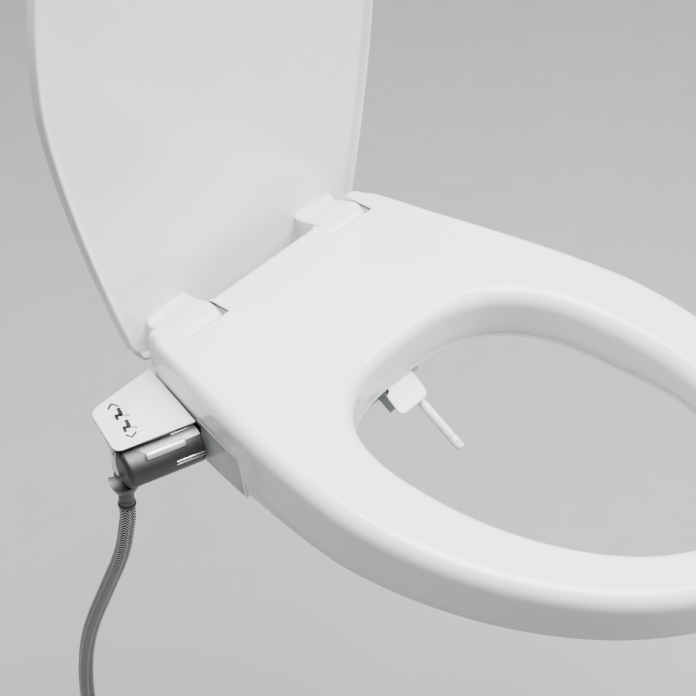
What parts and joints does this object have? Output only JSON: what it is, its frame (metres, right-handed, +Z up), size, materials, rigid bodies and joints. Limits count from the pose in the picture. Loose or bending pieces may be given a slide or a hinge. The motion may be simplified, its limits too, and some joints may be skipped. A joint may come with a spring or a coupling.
{
  "type": "bidet toilet seat",
  "caption": "Toilet seat and open lid hinged on a low base with a side lever control, a wash nozzle under a small gate, and a braided supply hose.",
  "frame": {"origin": "on the toilet deck plane, under the centre pad, midway between the two seat bolts", "axes": "+Z up, -Y towards the front of the bowl, -X towards the sitter's right, where the control is"},
  "size_m": [0.4329, 0.5687, 1.1038],
  "materials": {
    "gloss_white": "glossy moulded plastic",
    "grey_plastic": "matte moulded plastic",
    "dark_plastic": "matte black plastic",
    "satin_metal": "satin metal",
    "chrome": "polished chrome plate",
    "steel": "plain stainless steel",
    "brass": "bare brass",
    "rubber": "soft rubber",
    "soft_white": "soft pale plastic",
    "braid": "braided stainless steel wire over an inner hose"
  },
  "bodies": {
    "base": {"hinge_pin_left": "steel", "hinge_pin_right": "steel", "lid_damper": "grey_plastic", "seat_damper": "grey_plastic", "base_cover": "gloss_white", "base_bottom_plate": "grey_plastic", "anti_slip_pad_centre": "rubber", "anti_slip_pad_left": "rubber", "anti_slip_pad_right": "rubber", "mounting_plate": "grey_plastic", "seat_bolt_left": "steel", "seat_bolt_right": "steel", "bolt_washer_left": "steel", "bolt_washer_right": "steel", "bolt_bushing_left": "rubber", "bolt_bushing_right": "rubber", "bolt_nut_left": "grey_plastic", "bolt_nut_right": "grey_plastic", "release_spring": "steel", "nozzle_housing": "dark_plastic", "gate_pin": "steel", "front_wash_tube": "soft_white", "rear_wash_tube": "soft_white", "control_top_plate": "gloss_white", "control_housing": "gloss_white", "housing_screw_inner": "steel", "housing_screw_outer": "steel", "valve_body": "brass", "outlet_block": "dark_plastic", "inlet_collar": "chrome", "inlet_duct": "brass", "hose_top_ferrule": "chrome", "supply_hose": "braid", "hose_end_ferrule": "chrome", "hose_nut": "grey_plastic", "hose_nut_washer": "rubber"},
    "lid": {"lid_shell": "gloss_white", "lid_bumper_left": "soft_white", "lid_bumper_right": "soft_white"},
    "seat": {"seat_top_shell": "gloss_white", "seat_bottom_plate": "gloss_white", "seat_bumper_front_left": "soft_white", "seat_bumper_front_right": "soft_white", "seat_bumper_rear_left": "soft_white", "seat_bumper_rear_right": "soft_white"},
    "gate": {"gate_flap": "gloss_white"},
    "front_nozzle": {"front_wash_nozzle": "gloss_white", "front_wash_tip": "gloss_white"},
    "rear_nozzle": {"rear_wash_nozzle": "gloss_white", "rear_wash_tip": "gloss_white"},
    "lever": {"lever_drum": "satin_metal", "lever_grip": "satin_metal", "valve_spindle": "steel"},
    "release": {"release_button": "grey_plastic", "release_latch": "steel"}
  },
  "joints": [
    {"name": "lid_hinge", "type": "hinge", "parent": "base", "child": "lid", "pos_m": [0, 0.05376, 0.05425], "axis": [-1, 0, 0], "range_deg": [-94, 0]},
    {"name": "seat_hinge", "type": "hinge", "parent": "base", "child": "seat", "pos_m": [0, 0.05376, 0.05425], "axis": [-1, 0, 0], "range_deg": [0, 93]},
    {"name": "lever_turn", "type": "hinge", "parent": "base", "child": "lever", "pos_m": [-0.20492, 0.00504, 0.01701], "axis": [0.9451, -0.3263, -0.02], "range_deg": [-22, 22]},
    {"name": "gate_hinge", "type": "hinge", "parent": "base", "child": "gate", "pos_m": [0, -0.0877, 0.01655], "axis": [-1, 0, 0], "range_deg": [0, 30]},
    {"name": "front_nozzle_slide", "type": "slide", "parent": "base", "child": "front_nozzle", "axis": [0, -0.8231, -0.5678], "range_m": [-0.056, 0]},
    {"name": "rear_nozzle_slide", "type": "slide", "parent": "base", "child": "rear_nozzle", "axis": [0, -0.8231, -0.5678], "range_m": [0, 0.056]},
    {"name": "release_press", "type": "slide", "parent": "base", "child": "release", "axis": [-1, 0, 0], "range_m": [0, 0.004], "stiffness_N_per_m": 500, "springref_m": -0.003}
  ]
}
